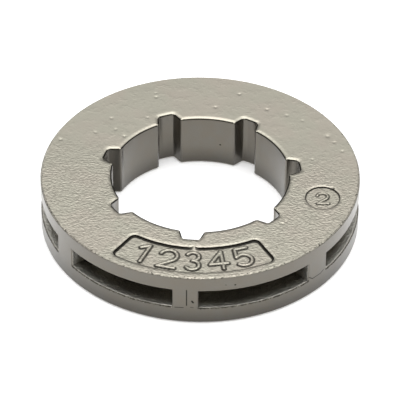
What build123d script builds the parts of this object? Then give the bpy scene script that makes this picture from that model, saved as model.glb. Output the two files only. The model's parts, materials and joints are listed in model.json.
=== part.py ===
"""Rim sprocket of a chainsaw: a ring with seven drive-link pockets and a splined bore.

Millimetres and degrees. The origin is the centre of the lower face, +Z is up along the bore's axis,
and one tooth points along -Y.
"""
from build123d import *
from math import asin, degrees, hypot, radians, sin
import os

os.makedirs("parts", exist_ok=True)

# Chain that the sprocket drives
chain_pitch = 9.525
tooth_count = 7
strap_drop = 2.9  # from the rivets' circle down to the rails that the tie straps ride on

# Rails and the groove between them
lower_rail = 2.25
groove_height = 2.35
upper_rail = 2.1
rail_edge_chamfer = 0.22

# Teeth and pockets
tooth_tip_width = 2.95
pocket_root_round = 2.4
window_edge_chamfer = 0.1
hub_wall = 1.65  # metal between the spline slots' floors and the pockets' floors

# Bore and spline slots
bore_diameter = 20.6
slot_depth = 1.35
slot_mouth_width = 2.8
slot_floor_width = 1.9
slot_mouth_round = 0.35
slot_floor_round = 0.3
bore_edge_chamfer = 0.2

# Sunk arc panel and sunk disc in the upper face, their walls drafted
recess_draft = 12
panel_inner_land = 1.42  # from the slots' floors
panel_outer_land = 1.05  # from the rail's edge
panel_span = 64.8
panel_turn = 2.2  # past the front tooth
panel_corner_round = 0.75
panel_depth = 0.3
disc_diameter = 4.05
disc_outer_land = 1.8
disc_turn = 78.5  # past the front tooth
disc_depth = 0.2

# Worked out from the sizes above
front_tooth = -90
pitches_round = 2 * tooth_count
rail_radius = chain_pitch / sin(radians(180 / pitches_round)) / 2 - strap_drop
groove_top = lower_rail + groove_height
thickness = groove_top + upper_rail
bore_radius = bore_diameter / 2
slot_radius = bore_radius + slot_depth
pocket_radius = slot_radius + hub_wall
cutter_reach = 1  # how far the pockets' cutter runs out past the rails
same_place = 0.001
panel_inner_radius = slot_radius + panel_inner_land
panel_outer_radius = rail_radius - panel_outer_land
disc_radius = rail_radius - disc_outer_land - disc_diameter / 2


def half_angle(width, radius):
    """Half of the angle that a chord of this width takes up on a circle."""
    return degrees(asin(width / 2 / radius))


def at_radius(radius):
    """A test for corners that lie at a radius from the bore's axis."""
    return lambda corner: abs(hypot(corner.X, corner.Y) - radius) < same_place


def on_window_edge(edge):
    """Whether an edge lies on the outer cylinder, within the groove's height."""
    points = [edge @ share for share in (0, 0.5, 1)]
    on_wall = all(abs(hypot(point.X, point.Y) - rail_radius) < same_place for point in points)
    return on_wall and all(lower_rail - same_place < point.Z < groove_top + same_place for point in points)


# Outline of one spline slot, narrower at its floor
with BuildSketch() as slot:
    mouth_angle = half_angle(slot_mouth_width, bore_radius)
    floor_angle = half_angle(slot_floor_width, slot_radius)
    with BuildLine():
        mouth = CenterArc((0, 0), bore_radius, -mouth_angle, 2 * mouth_angle)
        floor = CenterArc((0, 0), slot_radius, -floor_angle, 2 * floor_angle)
        Line(mouth @ 0, floor @ 0)
        Line(mouth @ 1, floor @ 1)
    make_face()

# Outline of the splined bore
with BuildSketch() as bore:
    Circle(bore_radius)
    with PolarLocations(0, tooth_count, start_angle=front_tooth):
        add(slot.sketch)
    fillet(bore.vertices().filter_by(at_radius(slot_radius)), slot_floor_round)
    fillet(bore.vertices().filter_by(at_radius(bore_radius)), slot_mouth_round)

# Outline of one tooth with radial flanks, from the axis to beyond the rails
with BuildSketch() as tooth:
    tip_angle = half_angle(tooth_tip_width, rail_radius)
    with BuildLine():
        tip = CenterArc((0, 0), rail_radius + 2 * cutter_reach, -tip_angle, 2 * tip_angle)
        Line((0, 0), tip @ 0)
        Line((0, 0), tip @ 1)
    make_face()

# The space of the pockets, with rounded roots
with BuildPart() as pockets:
    with BuildSketch(Plane.XY.offset(lower_rail)) as pocket_plan:
        Circle(rail_radius + cutter_reach)
        Circle(pocket_radius, mode=Mode.SUBTRACT)
        with PolarLocations(0, tooth_count, start_angle=front_tooth):
            add(tooth.sketch, mode=Mode.SUBTRACT)
        fillet(pocket_plan.vertices().filter_by(at_radius(pocket_radius)), pocket_root_round)
    extrude(amount=groove_height)

with BuildPart() as rim_sprocket:
    # Blank with eased rail edges
    with BuildSketch(Plane.XZ) as half_section:
        Rectangle(rail_radius, thickness, align=(Align.MIN, Align.MIN))
        chamfer(half_section.vertices().group_by(Axis.X)[-1], rail_edge_chamfer)
    revolve(axis=Axis.Z)

    # Splined bore with eased edges
    extrude(bore.sketch, amount=thickness, mode=Mode.SUBTRACT)
    lower_face = rim_sprocket.faces().sort_by(Axis.Z)[0]
    upper_face = rim_sprocket.faces().sort_by(Axis.Z)[-1]
    chamfer(lower_face.inner_wires()[0].edges() + upper_face.inner_wires()[0].edges(), bore_edge_chamfer)

    # Pockets between the teeth, and the eased edges of their windows
    add(pockets.part, mode=Mode.SUBTRACT)
    chamfer(rim_sprocket.edges().filter_by(on_window_edge), window_edge_chamfer)

    # Sunk arc panel
    with BuildSketch(Plane.XY.offset(thickness)) as panel:
        first_side = front_tooth + panel_turn - panel_span / 2
        with BuildLine():
            inner_side = CenterArc((0, 0), panel_inner_radius, first_side, panel_span)
            outer_side = CenterArc((0, 0), panel_outer_radius, first_side, panel_span)
            Line(inner_side @ 0, outer_side @ 0)
            Line(inner_side @ 1, outer_side @ 1)
        make_face()
        fillet(panel.vertices(), panel_corner_round)
    extrude(amount=-panel_depth, taper=recess_draft, mode=Mode.SUBTRACT)

    # Sunk disc
    with BuildSketch(Plane.XY.offset(thickness)) as disc:
        with PolarLocations(disc_radius, 1, start_angle=front_tooth + disc_turn):
            Circle(disc_diameter / 2)
    extrude(amount=-disc_depth, taper=recess_draft, mode=Mode.SUBTRACT)

rim_sprocket.part.label = "rim_sprocket"
export_step(rim_sprocket.part, "parts/rim_sprocket.step")
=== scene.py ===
"""Dresses the rim sprocket as a small steel casting with machined walls, and stages it for a picture.

Metres and radians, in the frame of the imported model: +Z runs up the bore's axis and one tooth
points along -Y. The ring gets softened edges, a cast skin, plain raised numbers in its sunk panel and
disc, and worn lips along its pockets.
"""

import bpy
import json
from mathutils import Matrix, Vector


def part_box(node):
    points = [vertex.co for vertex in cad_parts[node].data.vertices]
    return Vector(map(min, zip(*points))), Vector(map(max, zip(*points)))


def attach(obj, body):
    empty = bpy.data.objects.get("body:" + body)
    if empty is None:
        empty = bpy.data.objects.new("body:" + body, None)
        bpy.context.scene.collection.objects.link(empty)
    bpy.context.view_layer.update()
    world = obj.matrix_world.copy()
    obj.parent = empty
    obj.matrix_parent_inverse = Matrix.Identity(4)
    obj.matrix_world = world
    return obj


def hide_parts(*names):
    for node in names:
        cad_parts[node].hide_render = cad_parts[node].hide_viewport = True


bl_info = {
    "name": "Rim sprocket",
    "version": (1, 0, 0),
    "blender": (4, 5, 0),
    "location": "3D View > Sidebar > Sprocket",
    "description": "Dresses a chainsaw's rim sprocket in cast steel and stages it for a studio picture",
    "category": "Object",
}

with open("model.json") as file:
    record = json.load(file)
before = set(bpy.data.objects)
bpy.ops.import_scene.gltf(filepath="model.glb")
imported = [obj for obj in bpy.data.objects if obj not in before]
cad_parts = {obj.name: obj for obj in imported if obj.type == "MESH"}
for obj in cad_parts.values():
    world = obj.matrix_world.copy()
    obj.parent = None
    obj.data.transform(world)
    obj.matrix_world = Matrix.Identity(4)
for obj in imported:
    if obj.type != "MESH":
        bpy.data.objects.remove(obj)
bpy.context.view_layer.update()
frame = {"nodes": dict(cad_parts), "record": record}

import json
from math import ceil, cos, pi, radians, sin

import bpy
import numpy as np
from bpy.props import FloatProperty, FloatVectorProperty, PointerProperty
from bpy.types import Operator, Panel, PropertyGroup
from mathutils import Matrix, Vector, kdtree, noise

mm = 0.001

# The ring's main sizes
ring_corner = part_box("rim_sprocket")[1]
rail_radius = ring_corner.x
thickness = ring_corner.z
bore_radius = frame["record"]["mounts"][0]["dims"]["r_mm"] * mm
slot_depth = 1.35 * mm
slot_radius = bore_radius + slot_depth
lower_rail = 2.25 * mm
groove_top = 4.6 * mm
edge_chamfer = 0.22 * mm
bore_chamfer = 0.2 * mm
front_tooth = radians(-90)
tooth_half_width = 1.475 * mm
tooth_pitch = radians(360 / 7)
same_place = 0.001 * mm

# Sunk arc panel and sunk disc in the upper face, and the wear of their edges and the bore's
panel_inner_land = 1.42 * mm  # from the slots' floors
panel_outer_land = 1.05 * mm  # from the rail's edge
panel_inner_radius = slot_radius + panel_inner_land
panel_outer_radius = rail_radius - panel_outer_land
panel_middle_angle = front_tooth + radians(2.2)
panel_half_span = radians(32.4)
panel_corner_round = 0.75 * mm
panel_depth = 0.3 * mm
disc_radius = 2.025 * mm
disc_outer_land = 1.8 * mm
disc_centre_radius = rail_radius - disc_outer_land - disc_radius
disc_angle = front_tooth + radians(78.5)
disc_depth = 0.2 * mm
recess_lean = 0.21  # how far the sunk walls lean out, against their depth
recess_rim_drop = 0.3  # how far their rims are worn down, against their depth
recess_foot_fill = 0.18  # how far their feet are filled, against their depth
bore_rim_drop = 0.08 * mm  # of the upper face, at the bore's and the slots' edges

# Small dents in the upper face: radius and angle of their place, then width and depth
dents = (
    (12.62, 86.9, 0.20, 0.0540),
    (15.76, 77.9, 0.17, 0.0608),
    (14.46, 61.9, 0.22, 0.0540),
    (15.02, 52.2, 0.20, 0.0473),
    (15.67, 44.7, 0.18, 0.0338),
    (16.52, 30.4, 0.24, 0.0540),
    (16.81, 25.8, 0.22, 0.0405),
    (17.14, 19.5, 0.18, 0.0473),
    (13.34, 16.9, 0.16, 0.0405),
    (11.25, 147.7, 0.18, 0.0608),
    (12.12, 126.2, 0.18, 0.0405),
    (15.30, 115.3, 0.20, 0.0540),
    (16.07, 114.6, 0.14, 0.0405),
    (12.89, 146.0, 0.18, 0.0473),
    (14.46, 153.7, 0.20, 0.0405),
    (14.67, 140.9, 0.18, 0.0473),
    (17.53, 164.5, 0.22, 0.0675),
    (12.95, 321.5, 0.20, 0.0608),
    (12.98, 323.9, 0.20, 0.0608),
)

# A lump of metal on the panel's inner wall
lump_radius = panel_inner_radius + 0.1 * mm
lump_width = 0.28 * mm
lump_rise = 0.85 * panel_depth

# A nick in the disc's rim, with painted shade in and around it
nick_radius = 15.5 * mm
nick_angle = radians(355.7)
nick_width = 0.16 * mm
nick_depth = 0.8 * disc_depth
nick_shade_width = 0.15 * mm

# Marks and pits on the walls, and two broad strips of painted shade on the slots' walls: radius, half
# width, strength, and both ends' angle and height
marks = (
    (18.5, 0.065, 0.9, (270.5, 4.85), (270.52, 2.6)),
    (18.5, 0.04, 0.7, (271.9, 2.35), (272.9, 2.3)),
    (18.5, 0.04, 1.0, (266.4, 2.2), (269.4, 2.25)),
    (18.5, 0.1, 1.0, (272.4, 3.25), (272.8, 3.05)),
    (18.5, 0.09, 1.0, (287.4, 5.4), (287.5, 5.4)),
    (18.5, 0.04, 1.0, (284.1, 5.55), (284.2, 5.5)),
    (18.5, 0.05, 1.0, (316.8, 2.85), (318.8, 2.3)),
    (18.5, 0.05, 1.0, (318.8, 2.3), (322.9, 2.28)),
    (18.5, 0.05, 1.0, (322.9, 2.28), (324.5, 2.5)),
    (18.5, 0.07, 1.0, (326.8, 2.35), (326.9, 2.4)),
    (10.3, 0.09, 1.0, (81.6, 2.9), (81.8, 2.9)),
    # Painted shade on the slots' walls
    (11.0, 0.75, 0.6, (161.0, 0.5), (161.0, 6.3)),
    (11.5, 0.5, 0.55, (15.5, 3.0), (15.5, 6.4)),
)


# Sizes and colours that a user would change

class RimSizes(PropertyGroup):
    """Sizes of the ring's cast skin and worn edges."""

    grid_pitch: FloatProperty(
        name="Grid pitch", description="Distance between the cuts that divide the flat faces",
        default=0.5 * mm, min=0.3 * mm, unit="LENGTH")
    swell_height: FloatProperty(
        name="Swell height", description="Height of the cast skin's broad swells",
        default=0.006 * mm, min=0, unit="LENGTH")
    swell_length: FloatProperty(
        name="Swell length", description="Length of the cast skin's broad swells",
        default=2.2 * mm, min=0.1 * mm, unit="LENGTH")
    grain_height: FloatProperty(
        name="Grain height", description="Height of the cast skin's grain",
        default=0.006 * mm, min=0, unit="LENGTH")
    grain_length: FloatProperty(
        name="Grain length", description="Length of the cast skin's grain",
        default=0.45 * mm, min=0.1 * mm, unit="LENGTH")
    skin_drop: FloatProperty(
        name="Skin drop", description="How far the upper face lies below the ring's highest point",
        default=0.045 * mm, min=0, unit="LENGTH")
    rim_round: FloatProperty(
        name="Rim round", description="Width of the softened rims of the bore, the sunk panel and the disc",
        default=0.36 * mm, min=0.01 * mm, unit="LENGTH")
    foot_round: FloatProperty(
        name="Foot round", description="Width of the softened feet of the sunk walls",
        default=0.15 * mm, min=0.01 * mm, unit="LENGTH")
    lip_wear: FloatProperty(
        name="Lip wear", description="How far the pockets' lips wander from a true edge",
        default=0.05 * mm, min=0, unit="LENGTH")
    lip_flare: FloatProperty(
        name="Lip flare", description="How far the pockets' lips are worn open",
        default=0.1 * mm, min=0, unit="LENGTH")


class NumberSizes(PropertyGroup):
    """Sizes of the plain raised numbers."""

    panel_height: FloatProperty(
        name="Panel number height",
        description="Height of the panel's numbers, between the middles of their strokes",
        default=2.9 * mm, unit="LENGTH")
    panel_stroke: FloatProperty(
        name="Panel stroke", description="Half the width of the panel numbers' strokes",
        default=0.23 * mm, unit="LENGTH")
    panel_spacing: FloatProperty(
        name="Panel spacing", description="Angle from one of the panel's numbers to the next",
        default=radians(10.7), subtype="ANGLE")
    disc_height: FloatProperty(
        name="Disc number height",
        description="Height of the disc's number, between the middles of its strokes",
        default=1.85 * mm, unit="LENGTH")
    disc_stroke: FloatProperty(
        name="Disc stroke", description="Half the width of the disc number's stroke",
        default=0.17 * mm, unit="LENGTH")
    stroke_rise: FloatProperty(
        name="Stroke rise", description="How far the strokes stand up from the sunk floor",
        default=0.19 * mm, unit="LENGTH")


class SteelLook(PropertyGroup):
    """Colours and finish of the cast steel."""

    colour: FloatVectorProperty(
        name="Colour", description="Colour of the cast steel",
        default=(0.352, 0.331, 0.28), size=3, subtype="COLOR", min=0, max=1)
    machined_colour: FloatVectorProperty(
        name="Machined colour", description="Colour of the machined walls",
        default=(0.114, 0.105, 0.086), size=3, subtype="COLOR", min=0, max=1)
    stained_colour: FloatVectorProperty(
        name="Stained colour", description="Colour of the machined walls where they are stained",
        default=(0.114, 0.1, 0.077), size=3, subtype="COLOR", min=0, max=1)
    # Painted light: a paler skin where light reaches into the pockets' mouths
    lit_mouth_colour: FloatVectorProperty(
        name="Mouth colour", description="Colour of the cast skin in the pockets' mouths",
        default=(0.44, 0.43, 0.395), size=3, subtype="COLOR", min=0, max=1)
    oil: FloatProperty(
        name="Oil", description="How much of the machined walls' gloss comes from their film of oil",
        default=0.8, min=0, max=1, subtype="FACTOR")
    oil_roughness: FloatProperty(
        name="Oil roughness", description="Roughness of the film of oil",
        default=0.3, min=0, max=1, subtype="FACTOR")
    # Painted shade deep in the pockets
    pocket_shade: FloatProperty(
        name="Pocket shade", description="Brightness deep in the pockets against the cast skin",
        default=0.8, min=0, max=1, subtype="FACTOR")
    # Painted shade on the sunk walls and the numbers' flanks
    crevice_shade: FloatProperty(
        name="Crevice shade", description="Brightness of the sunk walls and the numbers' flanks",
        default=0.05, min=0, max=1, subtype="FACTOR")
    lip_shade: FloatProperty(
        name="Lip shade",
        description="Brightness of the pockets' rough lower lips against the machined walls",
        default=0.45, min=0, max=1, subtype="FACTOR")
    # Among these, the dirt is painted shade on the slots' walls
    mark_shade: FloatProperty(
        name="Mark shade", description="Brightness of the walls' marks, pits and dirt",
        default=0.12, min=0, max=1, subtype="FACTOR")
    # Painted shade at the foot of the walls
    foot_shade: FloatProperty(
        name="Foot shade", description="Brightness at the foot of the walls against their upper part",
        default=0.47, min=0, max=1, subtype="FACTOR")
    cast_roughness: FloatProperty(
        name="Cast roughness", description="Roughness of the cast skin",
        default=0.36, min=0, max=1, subtype="FACTOR")
    mouth_roughness: FloatProperty(
        name="Mouth roughness", description="Roughness of the cast skin in the pockets' mouths",
        default=0.46, min=0, max=1, subtype="FACTOR")
    machined_roughness: FloatProperty(
        name="Machined roughness", description="Roughness of the bore and the rails' outer walls",
        default=0.38, min=0, max=1, subtype="FACTOR")
    grain_relief: FloatProperty(
        name="Grain relief", description="Depth of the grain that is too small for the mesh",
        default=0.09 * mm, min=0, unit="LENGTH")


class StageSizes(PropertyGroup):
    """Camera, lights and floor."""

    camera_distance: FloatProperty(
        name="Camera distance", description="Distance from the camera to the point it looks at",
        default=368.5 * mm, unit="LENGTH")
    camera_elevation: FloatProperty(
        name="Camera elevation", description="Angle of the camera above the floor",
        default=radians(39.7), subtype="ANGLE")
    camera_turn: FloatProperty(
        name="Camera turn", description="Angle from the front tooth round to the camera",
        default=radians(4.88), subtype="ANGLE")
    camera_roll: FloatProperty(
        name="Camera roll", description="Lean of the camera",
        default=radians(0.51), subtype="ANGLE")
    camera_lens: FloatProperty(
        name="Camera lens", description="Focal length in millimetres on a 36 mm sensor",
        default=281.2)
    aim_behind: FloatProperty(
        name="Aim behind", description="How far behind the bore's axis the camera looks, on the floor",
        default=3.2 * mm, unit="LENGTH")
    horizon_strength: FloatProperty(
        name="Horizon strength", description="Brightness of the pale room at the floor's height",
        default=0.6, min=0)
    sky_strength: FloatProperty(
        name="Sky strength", description="Brightness of the pale room overhead",
        default=2.4, min=0)
    front_shade: FloatProperty(
        name="Front shade", description="Share of the light that the room's low front part lacks",
        default=0.75, min=0, max=1, subtype="FACTOR")
    softbox_glow: FloatProperty(
        name="Softbox glow", description="Brightness of the softbox's face",
        default=2.0, min=0)
    softbox_side: FloatProperty(
        name="Softbox side", description="Side of the square softbox over the object",
        default=0.5, unit="LENGTH")
    softbox_height: FloatProperty(
        name="Softbox height", description="Height of the softbox over the floor",
        default=0.6, unit="LENGTH")
    floor_colour: FloatVectorProperty(
        name="Floor colour", description="Colour of the pale floor",
        default=(0.92, 0.92, 0.92), size=3, subtype="COLOR", min=0, max=1)
    floor_glow: FloatProperty(
        name="Floor glow", description="Brightness of the light that the floor itself gives off",
        default=0.18, min=0)
    floor_side: FloatProperty(
        name="Floor side", description="Side of the square floor",
        default=4, unit="LENGTH")


# Shader maths

class Wire:
    """A shader socket that Python expressions work on. Each operation adds one Math node."""

    def __init__(self, graph, socket):
        self.graph = graph
        self.socket = socket

    def __add__(self, other):
        return self.graph.math("ADD", self, other)

    def __sub__(self, other):
        return self.graph.math("SUBTRACT", self, other)

    def __rsub__(self, other):
        return self.graph.math("SUBTRACT", other, self)

    def __mul__(self, other):
        return self.graph.math("MULTIPLY", self, other)

    def __pow__(self, other):
        return self.graph.math("POWER", self, other)

    __radd__ = __add__
    __rmul__ = __mul__


class Graph:
    """The nodes of one material or world."""

    def __init__(self, owner):
        owner.use_nodes = True
        self.tree = owner.node_tree
        self.tree.nodes.clear()

    def node(self, kind, settings=None, inputs=None, output=0):
        """Add a node: its settings first, then the values or links of its sockets."""
        made = self.tree.nodes.new(kind)
        for name, value in (settings or {}).items():
            setattr(made, name, value)
        for name, value in (inputs or {}).items():
            if isinstance(value, Wire):
                self.tree.links.new(value.socket, made.inputs[name])
            else:
                made.inputs[name].default_value = value
        return Wire(self, made.outputs[output]) if made.outputs else None

    def math(self, operation, *values, clamp=False):
        """Work on numbers."""
        settings = {"operation": operation, "use_clamp": clamp}
        return self.node("ShaderNodeMath", settings, dict(enumerate(values)))

    def vector_math(self, operation, *values, output="Vector"):
        """Work on points and directions."""
        settings = {"operation": operation}
        return self.node("ShaderNodeVectorMath", settings, dict(enumerate(values)), output)

    def split(self, vector):
        """The three parts of a point or direction."""
        return [self.node("ShaderNodeSeparateXYZ", {}, {"Vector": vector}, axis) for axis in "XYZ"]

    def step(self, value, start, end):
        """A soft step from 0 at start to 1 at end."""
        return self.node("ShaderNodeMapRange", {"interpolation_type": "SMOOTHSTEP"},
                         {"Value": value, "From Min": start, "From Max": end})

    def noise(self, place, length, detail=2.0, roughness=0.5):
        """A noise pattern whose features are about this long."""
        return self.node("ShaderNodeTexNoise", {}, {
            "Vector": place, "Scale": 1 / length, "Detail": detail, "Roughness": roughness})

    def mix_colour(self, share, first, second, blend="MIX"):
        """Mix two colours. The Mix node's colour sockets are its seventh and eighth."""
        return self.node("ShaderNodeMix", {"data_type": "RGBA", "blend_type": blend},
                         {0: share, 6: first, 7: second}, output=2)

    def bump(self, height, depth, below=None):
        """Relief of a height from 0 to 1, so many metres deep, over other relief if there is any below."""
        inputs = {"Height": height, "Distance": depth}
        if below is not None:
            inputs["Normal"] = below
        return self.node("ShaderNodeBump", {}, inputs)


def opaque(colour, share=1.0):
    """A share of a colour, with the alpha value that a node's socket wants."""
    return (*(channel * share for channel in colour), 1)


def cylinder_point(radius, angle, height):
    """A point from its radius and height in millimetres and its angle in degrees."""
    return Vector((radius * cos(radians(angle)), radius * sin(radians(angle)), height)) * mm


def from_line(graph, place, start, end):
    """How far a place lies from the straight line between two points."""
    along = end - start
    offset = graph.vector_math("SUBTRACT", place, start)
    reach = graph.vector_math("DOT_PRODUCT", offset, along, output="Value")
    share = graph.math("MULTIPLY", reach, 1 / along.length_squared, clamp=True)
    nearest = graph.node("ShaderNodeVectorMath", {"operation": "SCALE"}, {0: along, "Scale": share})
    return graph.vector_math("DISTANCE", offset, nearest, output="Value")


# Where each part of the surface is, as masks from 0 to 1

def find_faces(graph, radius, z):
    """Both cast faces, the upper one alone, and the strip beside the bore."""
    by_bore = graph.step(radius, slot_radius + 0.4 * mm, slot_radius + 0.3 * mm)
    above_chamfer = graph.step(z, thickness - 0.185 * mm, thickness - 0.14 * mm)
    upper = graph.step(z, thickness - 0.55 * mm, thickness - 0.35 * mm)
    upper = upper * (1.0 - by_bore * (1.0 - above_chamfer))
    lower = graph.step(z, 0.3 * mm, 0.1 * mm)
    on_face = graph.step(radius, rail_radius - 0.02 * mm, rail_radius - 0.06 * mm)
    return (upper + lower) * on_face, upper, by_bore


def find_pockets(graph, radius, z):
    """The pockets' skin, and how deep it lies in them."""
    over_floor = graph.step(z, lower_rail - 0.2 * mm, lower_rail)
    under_roof = graph.step(z, groove_top + 0.2 * mm, groove_top)
    inside = graph.step(radius, rail_radius - 0.05 * mm, rail_radius - 0.25 * mm)
    past_slots = graph.step(radius, slot_radius, slot_radius + 0.3 * mm)
    depth = graph.step(radius, rail_radius - 0.4 * mm, rail_radius - 1.3 * mm)
    return over_floor * under_roof * inside * past_slots, depth


def find_lips(graph, place, x, y, z, radius):
    """The rough lower lips of the pockets' windows."""
    uneven = (graph.noise(place, 0.3 * mm, detail=3.0, roughness=0.65) - 0.5) * (0.55 * mm)
    over = graph.step(z + uneven, lower_rail - 0.18 * mm, lower_rail - 0.1 * mm)
    under = graph.step(z, lower_rail + 0.2 * mm, lower_rail + 0.1 * mm)
    on_wall = graph.step(radius, rail_radius - 0.3 * mm, rail_radius - 0.1 * mm)
    turn = graph.math("ARCTAN2", y, x) - front_tooth
    past_tooth = graph.math("PINGPONG", turn, tooth_pitch / 2) * rail_radius - tooth_half_width
    in_window = graph.step(past_tooth, -0.1 * mm, 0.05 * mm)
    return over * under * on_wall * in_window


def find_marks_and_shade(graph, place):
    """The marks and pits on the walls, and the painted shade on the slots' walls."""
    found = 0.0
    for reach, half_width, strength, start, end in marks:
        away = from_line(graph, place, cylinder_point(reach, *start), cylinder_point(reach, *end))
        near = graph.step(away, 1.5 * half_width * mm, 0.6 * half_width * mm)
        found = found + near * strength
    return found


# The steel's finish

sparkle_relief = 0.006 * mm
uneven_roughness = 0.08  # between patches of the skin
cool_tint = (0.985, 1.005, 0.99)
warm_tint = (1.015, 0.995, 0.995)
low_shade = 0.68  # of the grain's low places
# Painted shade: dark specks along the upper face's outer edge
speck_shade = 0.25  # of the specks along the upper face's outer edge


def cast_relief(graph, place, coarse, look):
    """Grain that the mesh is too coarse for, under a finer sparkle. Also returns the grain's height."""
    stretched = graph.vector_math("MULTIPLY", place, (0.7, 1, 1))
    grain = graph.noise(stretched, 0.24 * mm, roughness=0.6)
    sparkle = graph.noise(place, 0.13 * mm, detail=1.0)
    relief = graph.bump(grain * coarse, look.grain_relief)
    return graph.bump(sparkle, sparkle_relief, below=relief), grain


def cast_colour(graph, place, low, rim_edge, look):
    """Patchy warm and cool greys, darker in the grain's low places, with painted shade in specks along the
    outer edge.
    """
    tint = graph.step(graph.noise(place, 4 * mm), 0.35, 0.65)
    cool, warm = ([channel * share for channel, share in zip(look.colour, shares)]
                  for shares in (cool_tint, warm_tint))
    colour = graph.mix_colour(tint, opaque(cool), opaque(warm))
    colour = graph.mix_colour(low * 0.7, colour, opaque(look.colour, low_shade))
    # Painted shade in specks along the outer edge
    specks = graph.step(graph.noise(place, 0.3 * mm), 0.56, 0.66)
    return graph.mix_colour(specks * rim_edge, colour, opaque(look.colour, speck_shade))


def wall_colour(graph, place, z, lip, bore_edge, mark_and_shade, look):
    """Machined and stained greys, with painted shade towards the foot and a painted dark reflection under
    the bore's edge, chipped at the lips, and dark in the marks and pits and in the painted shade on the
    slots' walls.
    """
    mottle = graph.step(graph.noise(place, 1.6 * mm, detail=5.0, roughness=0.6), 0.3, 0.7)
    colour = graph.mix_colour(mottle, opaque(look.machined_colour), opaque(look.stained_colour))
    # Painted shade: darker towards the foot of the walls, for the shadowed floor that they reflect
    foot = graph.step(z, 3 * mm, -0.6 * mm)
    colour = graph.mix_colour(foot, colour, opaque((look.foot_shade,) * 3), blend="MULTIPLY")
    chips = graph.step(graph.noise(place, 0.22 * mm, detail=3.0, roughness=0.65), 0.5, 0.66)
    dark = opaque(look.machined_colour, look.lip_shade)
    colour = graph.mix_colour(lip, colour, graph.mix_colour(chips, dark, opaque(look.colour, 0.9)))
    # Painted dark reflection along the top of the bore's wall
    colour = graph.mix_colour(bore_edge, colour, dark)
    return graph.mix_colour(mark_and_shade, colour, opaque(look.machined_colour, look.mark_shade))


def cast_steel(look):
    """Cast steel: a grained, satin skin on the faces, smoother machined walls, and pockets with painted
    shade deep inside and painted light at their mouths.
    """
    steel = bpy.data.materials.new("cast_steel")
    graph = Graph(steel)
    place = graph.node("ShaderNodeTexCoord", output="Object")
    x, y, z = graph.split(place)
    radius = (x * x + y * y) ** 0.5
    face, upper, by_bore = find_faces(graph, radius, z)
    pocket, depth = find_pockets(graph, radius, z)
    mouth = pocket * (1.0 - depth)
    machined = (1.0 - face) * (1.0 - pocket)
    lip = find_lips(graph, place, x, y, z, radius)
    mark_and_shade = find_marks_and_shade(graph, place)
    rim_edge = graph.step(radius, rail_radius - 0.35 * mm, rail_radius - 0.22 * mm) * upper
    # A painted dark reflection: a dark band along the top of the bore's wall, under its rounded edge
    bore_edge = by_bore * graph.step(z, thickness - 0.3 * mm, thickness - 0.2 * mm)
    # Painted shade of the sunk walls, their feet, the numbers' flanks and the nick, from the mesh
    crevice_painted_shade = graph.node("ShaderNodeAttribute", {"attribute_name": "crevice_painted_shade"}, output="Fac")

    # How coarse the skin is: a little in spots at the back, more at the front, most in the pockets
    patches = graph.noise(place, 5 * mm)
    front = graph.step(y + (patches - 0.5) * (8 * mm), 8 * mm, -2 * mm)
    spots = graph.step(graph.noise(place, 1.1 * mm), 0.5, 0.62)
    coarse = (0.1 + spots * 0.14 + front * 0.76) * face + pocket * 1.5
    relief, grain = cast_relief(graph, place, coarse, look)
    low = graph.step(grain, 0.58, 0.34) * coarse

    colour = cast_colour(graph, place, low, rim_edge, look)
    wall = wall_colour(graph, place, z, lip, bore_edge, mark_and_shade, look)
    colour = graph.mix_colour(machined, colour, wall)
    # Painted shade deep in the pockets
    colour = graph.mix_colour(pocket * depth, colour, opaque(look.colour, look.pocket_shade))
    # Painted light at the pockets' mouths
    colour = graph.mix_colour(mouth, colour, opaque(look.lit_mouth_colour))
    # Lay on the painted shade from the mesh
    colour = graph.mix_colour(crevice_painted_shade, colour, opaque(look.colour, look.crevice_shade))

    rough = look.cast_roughness + machined * (look.machined_roughness - look.cast_roughness)
    rough = rough + mouth * (look.mouth_roughness - look.cast_roughness)
    rough = rough + (patches - 0.5) * uneven_roughness
    bare = graph.math("ADD", mark_and_shade, bore_edge + lip, clamp=True)
    shader = graph.node("ShaderNodeBsdfPrincipled", {}, {
        "Base Color": colour, "Metallic": 1.0, "Roughness": rough, "Normal": relief,
        "Coat Weight": machined * (1.0 - bare) * look.oil, "Coat Roughness": look.oil_roughness})
    graph.node("ShaderNodeOutputMaterial", {}, {"Surface": shader})
    return steel


# Mesh tools

def pick(piece):
    """Make this piece the only selected and active object."""
    bpy.ops.object.select_all(action="DESELECT")
    piece.select_set(True)
    bpy.context.view_layer.objects.active = piece


def read(items, name):
    """One three-part attribute of all vertices or faces, as an array."""
    values = np.empty(len(items) * 3)
    items.foreach_get(name, values)
    return values.reshape(-1, 3)


def read_ends(mesh):
    """The two vertices of each edge."""
    ends = np.empty(len(mesh.edges) * 2, int)
    mesh.edges.foreach_get("vertices", ends)
    return ends.reshape(-1, 2)


def read_corners(mesh):
    """The vertex of each face's corner, and the normal of its face."""
    vertex_of = np.empty(len(mesh.loops), int)
    mesh.loops.foreach_get("vertex_index", vertex_of)
    sides = np.empty(len(mesh.polygons), int)
    mesh.polygons.foreach_get("loop_total", sides)
    return vertex_of, np.repeat(read(mesh.polygons, "normal"), sides, axis=0)


def edit_faces(piece, wanted):
    """Go into edit mode with only the faces selected whose centre and normal pass a test."""
    mesh = piece.data
    chosen = wanted(read(mesh.polygons, "center"), read(mesh.polygons, "normal"))
    mesh.vertices.foreach_set("select", np.zeros(len(mesh.vertices), bool))
    mesh.edges.foreach_set("select", np.zeros(len(mesh.edges), bool))
    mesh.polygons.foreach_set("select", chosen)
    bpy.ops.object.mode_set(mode="EDIT")
    bpy.ops.mesh.select_mode(type="FACE")


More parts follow.
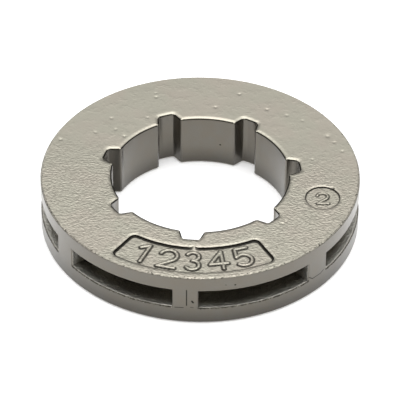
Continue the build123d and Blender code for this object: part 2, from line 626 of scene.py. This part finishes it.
def slice_faces(piece, wanted, cuts):
    """Cut the wanted faces along planes, each given by a direction and a distance along it."""
    edit_faces(piece, wanted)
    bpy.ops.mesh.hide(unselected=True)
    for direction, distance in cuts:
        bpy.ops.mesh.select_all(action="SELECT")
        bpy.ops.mesh.bisect(plane_co=direction * distance, plane_no=direction, threshold=1e-7)
    bpy.ops.mesh.reveal(select=False)
    bpy.ops.object.mode_set(mode="OBJECT")


def join_coplanar(piece, wanted):
    """Dissolve the wanted faces' slanting inner edges, so that only the cuts along X and Y are left."""
    mesh = piece.data
    ends = read_ends(mesh)
    points = read(mesh.vertices, "co")
    span = np.abs(points[ends[:, 0]] - points[ends[:, 1]])
    mesh.edges.foreach_set("use_seam", span[:, :2].min(axis=1) < 1e-7)
    edit_faces(piece, wanted)
    bpy.ops.mesh.dissolve_limited(angle_limit=radians(0.5), delimit={"SEAM"})
    bpy.ops.object.mode_set(mode="OBJECT")
    mesh.edges.foreach_set("use_seam", np.zeros(len(mesh.edges), bool))


def subdivide_faces(piece, wanted, cuts):
    """Divide the wanted faces into triangles, and each of their edges by so many cuts."""
    edit_faces(piece, wanted)
    bpy.ops.mesh.quads_convert_to_tris(quad_method="BEAUTY", ngon_method="BEAUTY")
    bpy.ops.mesh.subdivide(number_cuts=cuts)
    bpy.ops.object.mode_set(mode="OBJECT")


def smoothstep(start, end, values):
    """0 before start, 1 after end and a soft step between."""
    share = np.clip((values - start) / (end - start), 0, 1)
    return share * share * (3 - 2 * share)


def noise_at(points, length, seed):
    """Noise from about -1 to 1 at each point, with features of a length."""
    return np.array([noise.noise(point) for point in points / length + seed])


def radius_of(points):
    """How far each point lies from the bore's axis."""
    return np.hypot(points[:, 0], points[:, 1])


def angle_of(points):
    """The angle of each point about the bore's axis."""
    return np.arctan2(points[:, 1], points[:, 0])


def at(radius, angle):
    """The level point at a radius and an angle."""
    return np.array((radius * cos(angle), radius * sin(angle)))


def away_from(centre, points):
    """How far each point lies from a level point, seen from above."""
    return radius_of(points[:, :2] - centre)


def wrapped(angle):
    """An angle brought between minus and plus half a turn."""
    return (angle + pi) % (2 * pi) - pi


def mound(points, centre, width):
    """A smooth mound, 1 at its centre, at each point."""
    return np.exp(-(away_from(centre, points) / width) ** 2)


# The sunk panel and disc

def outside_panel(points):
    """How far each point lies outside the sunk panel's edge, and less than 0 inside it."""
    radius = radius_of(points)
    middle = (panel_inner_radius + panel_outer_radius) / 2
    half_height = (panel_outer_radius - panel_inner_radius) / 2
    from_middle = np.abs(wrapped(angle_of(points) - panel_middle_angle))
    across = np.abs(radius - middle) - half_height + panel_corner_round
    along = (from_middle - panel_half_span) * radius + panel_corner_round
    corner = np.hypot(np.maximum(across, 0), np.maximum(along, 0))
    return corner + np.minimum(np.maximum(across, along), 0) - panel_corner_round


def outside_disc(points):
    """How far each point lies outside the sunk disc's edge, and less than 0 inside it."""
    return away_from(at(disc_centre_radius, disc_angle), points) - disc_radius


# Tests that choose faces by their centres and normals

level_from = 0.9  # the Z part of a level face's normal is above this
upright_to = 0.3  # and of an upright face's, below this
sunk_strip = 0.3 * mm  # width of the strip around the sunk panel and disc that is divided with them


def sloping(normals):
    """Whether each face is neither level nor upright."""
    tilt = np.abs(normals[:, 2])
    return (tilt > upright_to) & (tilt < level_from)


def on_upper(centres, normals):
    """Faces that look up at the top, the sunk floors among them."""
    return (normals[:, 2] > level_from) & (centres[:, 2] > groove_top + 2 * edge_chamfer)


def near_panel(centres, normals):
    """The sunk panel's floor and walls, and the strip around it."""
    return (centres[:, 2] > thickness - 1.1 * panel_depth) & (outside_panel(centres) < sunk_strip)


def near_disc(centres, normals):
    """The sunk disc's floor and wall, and the strip around it."""
    return (centres[:, 2] > thickness - 1.1 * disc_depth) & (outside_disc(centres) < sunk_strip)


def on_plain_upper(centres, normals):
    """The upper face without the sunk places and the strips around them."""
    return on_upper(centres, normals) & ~near_panel(centres, normals) & ~near_disc(centres, normals)


def near_detail(centres, normals):
    """The upper face beside the bore with its slots, and around the dents."""
    radius = radius_of(centres)
    past_slot = (angle_of(centres) - front_tooth + tooth_pitch / 2) % tooth_pitch - tooth_pitch / 2
    by_slot = (np.abs(past_slot) * radius < 1.8 * mm) & (radius < slot_radius + 0.6 * mm)
    near = (radius < bore_radius + 0.65 * mm) | by_slot
    for dent_radius, dent_angle, *_ in dents:
        near |= away_from(at(dent_radius * mm, radians(dent_angle)), centres) < 0.45 * mm
    return near & on_plain_upper(centres, normals)


def on_outer_wall(centres, normals):
    """The outer wall of the rails and teeth, with the eased edges of the pockets' windows."""
    return (radius_of(centres) > rail_radius - edge_chamfer) & (np.abs(normals[:, 2]) < level_from)


def on_eased_edge(centres, normals):
    """The narrow sloping bands along the edges of the walls and windows."""
    radius = radius_of(centres)
    outward = (normals[:, 0] * centres[:, 0] + normals[:, 1] * centres[:, 1]) / radius
    sunk_edge = (outside_panel(centres) < sunk_strip) | (outside_disc(centres) < sunk_strip)
    sunk_edge &= centres[:, 2] > groove_top + edge_chamfer
    window_side = (radius > rail_radius - edge_chamfer) & (np.abs(outward) < level_from)
    return sloping(normals) & ~sunk_edge | window_side & (np.abs(normals[:, 2]) < upright_to)


def on_bore_edge(centres, normals):
    """The eased upper edge of the bore and its slots."""
    by_bore = radius_of(centres) < slot_radius + 2 * bore_chamfer
    return sloping(normals) & (normals[:, 2] > 0) & (centres[:, 2] > groove_top) & by_bore


# The ring

def divide(rim, sizes):
    """Divide the ring's faces finely enough for its skin, its lips and its numbers."""
    steps = ceil(rail_radius / sizes.grid_pitch)
    off_axis = 0.37  # of the pitch, so that no cut runs through the axis
    distances = [(step + off_axis) * sizes.grid_pitch for step in range(-steps, steps)]
    grid = [(Vector(axis), distance) for axis in ((1, 0, 0), (0, 1, 0)) for distance in distances]
    subdivide_faces(rim, on_outer_wall, cuts=3)
    slice_faces(rim, on_upper, grid)
    join_coplanar(rim, on_upper)
    subdivide_faces(rim, on_plain_upper, cuts=1)
    subdivide_faces(rim, near_detail, cuts=2)
    subdivide_faces(rim, near_disc, cuts=6)
    subdivide_faces(rim, near_panel, cuts=6)


def round_outer_wall(points):
    """Bring the outer wall and its eased edges to true rounds."""
    radius, height = radius_of(points), points[:, 2]
    eased = np.maximum(0, np.maximum(height - thickness, -height) + edge_chamfer)
    true_radius = rail_radius - eased
    outer = np.abs(radius - true_radius) < 0.02 * mm
    points[outer, :2] *= (true_radius / radius)[outer, None]


def soften_recess(points, down, outside, depth, sizes):
    """Round the rim and the foot of a sunk place's wall. Returns the painted shade on the wall and along
    its foot, from 0 to 1.
    """
    near = (outside < sizes.rim_round) & (down > -0.001) & (down < 1.05)
    from_foot = -outside - recess_lean * depth
    past_rim = np.maximum(outside, 0)
    rim = recess_rim_drop * depth * np.clip(1 - past_rim / sizes.rim_round, 0, 1) ** 2
    foot = recess_foot_fill * depth * np.clip(1 - from_foot / sizes.foot_round, 0, 1) ** 2
    sunk = rim * (1 - down) + (depth - foot) * down
    points[near, 2] -= (sunk - down * depth)[near]
    width = depth - 0.08 * mm
    # Painted shade: dark on the sunk wall and on a strip of the floor along its foot
    wall = smoothstep(0, 0.2, down) * smoothstep(1.3 * width, 0.8 * width, from_foot)
    return np.where(near, wall, 0)


def soften_recesses(points, sizes):
    """Soften both sunk places. Returns the painted shade of their walls, and whether each point is sunk."""
    height = points[:, 2].copy()
    crevice_painted_shade = np.zeros(len(points))
    sunk = np.zeros(len(points), bool)
    for outside, depth in ((outside_panel(points), panel_depth), (outside_disc(points), disc_depth)):
        down = (thickness - height) / depth
        sunk |= (outside < 0) & (down < 1.05)
        crevice_painted_shade += soften_recess(points, down, outside, depth, sizes)

    # The painted shade on the disc's edge is darkest at its back, where its wall faces the front
    behind = np.clip((points[:, 1] - at(disc_centre_radius, disc_angle)[1]) / disc_radius, -1, 1)
    crevice_painted_shade *= np.where(outside_disc(points) < sizes.rim_round, 0.75 + 0.25 * behind, 1)
    return crevice_painted_shade, sunk


def beside(points, border):
    """How far each point lies from the nearest of the border's points."""
    tree = kdtree.KDTree(len(border))
    for index, point in enumerate(border):
        tree.insert(point, index)
    tree.balance()
    return np.array([tree.find(point)[2] for point in points])


def drop_bore_rim(rim, points, upper, sizes):
    """Round the upper face down to the bore's and the slots' edges."""
    inner = upper & (radius_of(points) < slot_radius + 2 * bore_chamfer + sizes.rim_round)
    vertex_of, facing = read_corners(rim.data)
    border = np.zeros(len(points), bool)
    border[vertex_of[on_bore_edge(points[vertex_of], facing)]] = True
    border &= upper
    rim_share = np.clip(1 - beside(points[inner], points[border]) / sizes.rim_round, 0, 1) ** 2
    points[inner, 2] -= bore_rim_drop * rim_share


def cast_skin(points, sunk, height, sizes):
    """Add broad swells and grain, coarser towards the front, and fading out down the eased edges."""
    hold = np.clip((height - thickness) / bore_chamfer + 1, 0, 1)
    hold[sunk] = 1
    skin = hold > 0
    front = smoothstep(7 * mm, 0, points[skin, 1])
    inset = smoothstep(0, 0.5 * mm, rail_radius - edge_chamfer - radius_of(points[skin]))
    level = points[skin] * (1, 1, 0)
    swell = noise_at(level, sizes.swell_length, 3.7) * sizes.swell_height
    grain = noise_at(level, sizes.grain_length, 11.3) * sizes.grain_height * (0.25 + 0.75 * front)
    points[skin, 2] += ((swell + grain) * inset - sizes.skin_drop) * hold[skin]


def dent(points, crevice_painted_shade, upper, sunk):
    """Make the dents, the lump on the panel's inner wall and the nick in the disc's rim, lifting the
    painted shade off the lump and laying it in and around the nick.
    """
    for dent_radius, dent_angle, width, depth in dents:
        centre = at(dent_radius * mm, radians(dent_angle))
        points[upper, 2] -= depth * mm * mound(points[upper], centre, width * mm)
    lump = mound(points, at(lump_radius, panel_middle_angle), lump_width)
    points[sunk, 2] += lump_rise * lump[sunk]
    # The lump takes no painted shade
    crevice_painted_shade *= 1 - lump
    nick = at(nick_radius, nick_angle)
    points[upper, 2] -= nick_depth * mound(points[upper], nick, nick_width)
    # Painted shade in and around the nick
    np.maximum(crevice_painted_shade, 0.9 * upper * mound(points, nick, nick_shade_width), out=crevice_painted_shade)


def wear_lips(points, height, sizes):
    """Let the pockets' lips wander and open. The lower ones wander most, the upper ones open most."""
    for lip, wear, opening in ((lower_rail, 1.0, -0.3), (groove_top, 0.4, 1.0)):
        on_lip = (radius_of(points) > rail_radius - edge_chamfer) & (np.abs(height - lip) < 0.12 * mm)
        level = points[on_lip] * (1, 1, 0)
        wander = noise_at(level, 0.45 * mm, 5.1) + 0.5 * noise_at(level, 1.3 * mm, 8.2)
        points[on_lip, 2] += wander * sizes.lip_wear * wear + opening * sizes.lip_flare


def roughen(rim, sizes):
    """Give the upper face its cast skin, soften the sunk places' edges, wear the pockets' lips and store
    the painted shade of the sunk walls and the nick.
    """
    points = read(rim.data.vertices, "co")
    height = points[:, 2].copy()
    upper = height > thickness - same_place
    round_outer_wall(points)
    crevice_painted_shade, sunk = soften_recesses(points, sizes)
    drop_bore_rim(rim, points, upper, sizes)
    cast_skin(points, sunk, height, sizes)
    dent(points, crevice_painted_shade, upper, sunk)
    wear_lips(points, height, sizes)
    points[:, 2] = np.minimum(points[:, 2], thickness)
    rim.data.vertices.foreach_set("co", points.ravel())
    rim.data.update()
    # Keep the painted shade as an attribute for the material
    rim.data.attributes.new("crevice_painted_shade", "FLOAT", "POINT").data.foreach_set("value", crevice_painted_shade)


def lean_over_bore(points, corners, facing, vertex_of):
    """Turn the normals along the bore's upper edge over, so that the edge reads as a round."""
    on_edge = on_bore_edge(points, facing)
    lean = np.zeros((vertex_of.max() + 1, 3))
    np.add.at(lean, vertex_of[on_edge], facing[on_edge] * (1, 1, 0))
    length = np.linalg.norm(lean, axis=1)
    leaning = (lean / np.maximum(length, 1e-9)[:, None])[vertex_of]
    on_border = length[vertex_of] > 0
    high = points[:, 2] > thickness - bore_chamfer + 0.03 * mm
    on_wall = on_border & ~high & (np.abs(facing[:, 2]) < upright_to)

    # Degrees from straight up: less on the far side of the bore, and level where the wall begins
    flatter = 1 - 0.7 * np.maximum(leaning[:, 1], 0)
    turned = np.zeros(len(points), bool)
    turn = np.zeros(len(points))
    for chosen, tilt in ((on_border & high, 25 * flatter), (on_edge & ~high, 55), (on_wall, 90)):
        turned |= chosen
        turn = np.where(chosen, np.radians(tilt), turn)
    corners[turned] = leaning[turned] * np.sin(turn[turned])[:, None]
    corners[turned, 2] = np.cos(turn[turned])


def true_normals(rim):
    """Give the outer wall, its edges and the pockets' floors and roofs the normals of their true forms."""
    mesh = rim.data
    corners = read(mesh.corner_normals, "vector")
    vertex_of, facing = read_corners(mesh)
    points = read(mesh.vertices, "co")[vertex_of]
    radius, height = radius_of(points), points[:, 2]
    radial = points * (1, 1, 0) / radius[:, None]
    outward = (facing * radial).sum(axis=1)
    on_wall = (radius > rail_radius - 0.01 * mm) & (outward > 0.3)
    corners[on_wall] = radial[on_wall]
    outer_edge = np.abs(radius - rail_radius + edge_chamfer) < 0.01 * mm
    for level, up in ((0, -1), (thickness, 1)):
        corners[outer_edge & (np.abs(height - level) < 0.1 * mm)] = (0, 0, up)
    for level, up in ((lower_rail, 1), (groove_top, -1)):
        flat = (np.abs(facing[:, 2]) > 0.8) & (np.abs(height - level) < 0.2 * mm)
        corners[flat] = (0, 0, up)
    lean_over_bore(points, corners, facing, vertex_of)
    mesh.normals_split_custom_set(corners)


def weigh_normals(rim):
    """Shade the ring smoothly, with the eased edges as rounds between true faces."""
    pick(rim)
    bpy.ops.object.shade_smooth_by_angle(angle=radians(60))
    edit_faces(rim, lambda centres, normals: ~on_eased_edge(centres, normals))
    bpy.ops.mesh.mod_weighted_strength(set=True, face_strength="STRONG")
    bpy.ops.object.mode_set(mode="OBJECT")
    edit_faces(rim, on_eased_edge)
    bpy.ops.mesh.mod_weighted_strength(set=True, face_strength="WEAK")
    bpy.ops.object.mode_set(mode="OBJECT")
    weighted = rim.modifiers.new("weighted", "WEIGHTED_NORMAL")
    weighted.mode = "FACE_AREA_WITH_ANGLE"
    weighted.keep_sharp = True
    weighted.use_face_influence = True
    bpy.ops.object.modifier_apply(modifier=weighted.name)
    true_normals(rim)


class SPROCKET_OT_rim(Operator):
    """Dress the ring: a finer copy of its solid with a cast skin and worn lips"""

    bl_idname = "sprocket.rim"
    bl_label = "Rim"

    def execute(self, context):
        sizes = context.scene.sprocket_rim
        node = frame["nodes"]["rim_sprocket"]
        rim = bpy.data.objects.new("rim", node.data.copy())
        context.scene.collection.objects.link(rim)
        pick(rim)
        edit_faces(rim, lambda centres, normals: np.ones(len(centres), bool))
        bpy.ops.mesh.remove_doubles(threshold=same_place)
        bpy.ops.object.mode_set(mode="OBJECT")
        divide(rim, sizes)
        roughen(rim, sizes)
        rim.data.materials.clear()
        rim.data.materials.append(cast_steel(context.scene.sprocket_steel))
        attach(rim, "root")
        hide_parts("rim_sprocket")
        return {"FINISHED"}


# The plain raised numbers

def bend(across, up, radius, start, end):
    """Points along an arc of a number's stroke, between two angles in degrees."""
    return [(across + radius * cos(turn), up + radius * sin(turn))
            for turn in np.radians(np.linspace(start, end, 13))]


# Middle lines of each number's strokes, in a box one unit high
strokes = {
    "1": [[(0.1, 0.76), (0.4, 1), (0.4, 0)]],
    "2": [bend(0.34, 0.67, 0.33, 165, -38) + [(0.02, 0), (0.7, 0)]],
    "3": [bend(0.33, 0.76, 0.24, 150, -90), bend(0.33, 0.26, 0.26, 90, -150)],
    "4": [[(0.5, 0), (0.5, 1), (0, 0.3), (0.7, 0.3)]],
    "5": [[(0.62, 1), (0.16, 1), (0.09, 0.54)] + bend(0.33, 0.32, 0.32, 135, -145)],
}


def from_stroke(points, number, centre, up_angle, height):
    """How far each point lies from the middle line of a number's nearest stroke."""
    up = at(1, up_angle)
    right = np.array((up[1], -up[0]))
    level = points[:, :2] - centre
    spots = np.stack((level @ right, level @ up), axis=1)
    nearest = np.full(len(points), np.inf)
    for stroke in strokes[number]:
        line = (np.array(stroke) - (0.35, 0.5)) * height
        for start, end in zip(line, line[1:]):
            along = end - start
            share = np.clip((spots - start) @ along / (along @ along), 0, 1)
            nearest = np.minimum(nearest, np.linalg.norm(spots - start - share[:, None] * along, axis=1))
    return nearest


def raise_number(points, crevice_painted_shade, inside, number, centre, up_angle, height, half_width, rise):
    """Raise a number as a rounded ridge, and paint shade on its flanks, most of all where they face the
    front.
    """
    ahead = 0.05 * mm
    nearest = from_stroke(points[inside], number, centre, up_angle, height)
    nearest_ahead = from_stroke(points[inside] - (0, ahead, 0), number, centre, up_angle, height)
    across = nearest / half_width
    points[inside, 2] += rise * np.sqrt(np.clip(1 - across ** 2, 0, 1))
    # Painted shade on the flanks, darker where they face the front
    flank = np.clip(1.9 - np.abs(across - 1.15) / 0.3, 0, 1)
    facing = np.clip((nearest_ahead - nearest) / ahead, -1, 1)
    crevice_painted_shade[inside] = np.maximum(crevice_painted_shade[inside], (0.8 + 0.2 * facing) * flank)


class SPROCKET_OT_numbers(Operator):
    """Raise plain numbers from the floors of the sunk panel and disc"""

    bl_idname = "sprocket.numbers"
    bl_label = "Numbers"

    def execute(self, context):
        sizes = context.scene.sprocket_numbers
        rim = bpy.data.objects["rim"]
        points = read(rim.data.vertices, "co")
        middle = (panel_inner_radius + panel_outer_radius) / 2
        top = points[:, 2] > thickness - 2 * panel_depth
        wall_width = 0.1 * mm
        in_panel = top & (outside_panel(points) < -wall_width)
        in_disc = top & (outside_disc(points) < -wall_width)
        crevice_painted_shade = np.empty(len(points))
        rim.data.attributes["crevice_painted_shade"].data.foreach_get("value", crevice_painted_shade)
        for place, number in enumerate("12345"):
            angle = panel_middle_angle + (place - 2) * sizes.panel_spacing
            raise_number(points, crevice_painted_shade, in_panel, number, at(middle, angle), angle + pi,
                         sizes.panel_height, sizes.panel_stroke, sizes.stroke_rise)
        upright = radians(90) + context.scene.sprocket_stage.camera_turn
        centre = at(disc_centre_radius, disc_angle)
        raise_number(points, crevice_painted_shade, in_disc, "2", centre, upright,
                     sizes.disc_height, sizes.disc_stroke, rise=0.8 * sizes.stroke_rise)
        rim.data.attributes["crevice_painted_shade"].data.foreach_set("value", crevice_painted_shade)
        rim.data.vertices.foreach_set("co", points.ravel())
        rim.data.update()
        weigh_normals(rim)
        return {"FINISHED"}


# Stage

class SPROCKET_OT_stage(Operator):
    """Set the floor, the lights and the camera"""

    bl_idname = "sprocket.stage"
    bl_label = "Stage"

    def execute(self, context):
        sizes = context.scene.sprocket_stage
        self.lay_floor(sizes)
        self.light_room(context, sizes)
        self.place_camera(context, sizes)
        context.scene.view_settings.view_transform = "Standard"
        return {"FINISHED"}

    def lay_floor(self, sizes):
        bpy.ops.mesh.primitive_plane_add(size=sizes.floor_side)
        floor = bpy.context.object
        floor.name = "floor"
        paint = bpy.data.materials.new("pale_floor")
        graph = Graph(paint)
        shader = graph.node("ShaderNodeBsdfPrincipled", {}, {
            "Base Color": opaque(sizes.floor_colour), "Roughness": 1.0, "Specular IOR Level": 0.0,
            "Emission Color": (1, 1, 1, 1), "Emission Strength": sizes.floor_glow})
        graph.node("ShaderNodeOutputMaterial", {}, {"Surface": shader})
        floor.data.materials.append(paint)

    def light_room(self, context, sizes):
        """A pale room, darker low down in front, and a softbox overhead."""
        room = bpy.data.worlds.new("studio")
        context.scene.world = room
        graph = Graph(room)
        x, y, height = graph.split(graph.node("ShaderNodeTexCoord", output="Generated"))
        low_front = graph.step(y, -0.1, -0.8) * graph.step(height, 0.75, 0.25)
        overhead = graph.step(height, 0.35, 0.9)
        glow = sizes.horizon_strength + overhead * (sizes.sky_strength - sizes.horizon_strength)
        glow = glow * (1.0 - low_front * sizes.front_shade)
        sky = graph.node("ShaderNodeBackground", {}, {"Strength": glow})
        graph.node("ShaderNodeOutputWorld", {}, {"Surface": sky})

        softbox = bpy.data.lights.new("softbox", "AREA")
        softbox.shape = "SQUARE"
        softbox.size = sizes.softbox_side
        softbox.energy = sizes.softbox_glow * pi * sizes.softbox_side ** 2
        lamp = bpy.data.objects.new("softbox", softbox)
        lamp.location = (0, 50 * mm, sizes.softbox_height)
        lamp.rotation_euler = Vector(lamp.location).to_track_quat("Z", "Y").to_euler()
        context.scene.collection.objects.link(lamp)

    def place_camera(self, context, sizes):
        """Turn about the bore's axis, look down at the aim point and lean by the roll."""
        camera = bpy.data.cameras.new("camera")
        camera.lens = sizes.camera_lens
        camera.sensor_width = 36
        camera.clip_start = 10 * mm
        stand = bpy.data.objects.new("camera", camera)
        context.scene.collection.objects.link(stand)
        turn = Matrix.Rotation(sizes.camera_turn, 4, "Z")
        aim = Matrix.Translation((0, sizes.aim_behind, 0))
        tilt = Matrix.Rotation(radians(90) - sizes.camera_elevation, 4, "X")
        lean = Matrix.Rotation(sizes.camera_roll, 4, "Z")
        back = Matrix.Translation((0, 0, sizes.camera_distance))
        stand.matrix_world = turn @ aim @ tilt @ lean @ back
        context.scene.camera = stand


# The add-on

class SPROCKET_PT_sidebar(Panel):
    """Lists the sizes, each with the step that uses them"""

    bl_idname = "SPROCKET_PT_sidebar"
    bl_label = "Rim sprocket"
    bl_space_type = "VIEW_3D"
    bl_region_type = "UI"
    bl_category = "Sprocket"

    def draw(self, context):
        for group, sizes_class in groups.items():
            box = self.layout.box()
            for name in sizes_class.__annotations__:
                box.prop(getattr(context.scene, group), name)
            if group in steps:
                box.operator(steps[group].bl_idname)


groups = {
    "sprocket_steel": SteelLook,
    "sprocket_rim": RimSizes,
    "sprocket_numbers": NumberSizes,
    "sprocket_stage": StageSizes,
}
steps = {
    "sprocket_rim": SPROCKET_OT_rim,
    "sprocket_numbers": SPROCKET_OT_numbers,
    "sprocket_stage": SPROCKET_OT_stage,
}
classes = (*groups.values(), *steps.values(), SPROCKET_PT_sidebar)


def register():
    for each in classes:
        bpy.utils.register_class(each)
    for name, group in groups.items():
        setattr(bpy.types.Scene, name, PointerProperty(type=group))


def unregister():
    for name in groups:
        delattr(bpy.types.Scene, name)
    for each in reversed(classes):
        bpy.utils.unregister_class(each)


def main():
    """Register the classes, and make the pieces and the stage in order."""
    register()
    bpy.ops.sprocket.rim()
    bpy.ops.sprocket.numbers()
    bpy.ops.sprocket.stage()


if __name__ == "__main__":
    main()
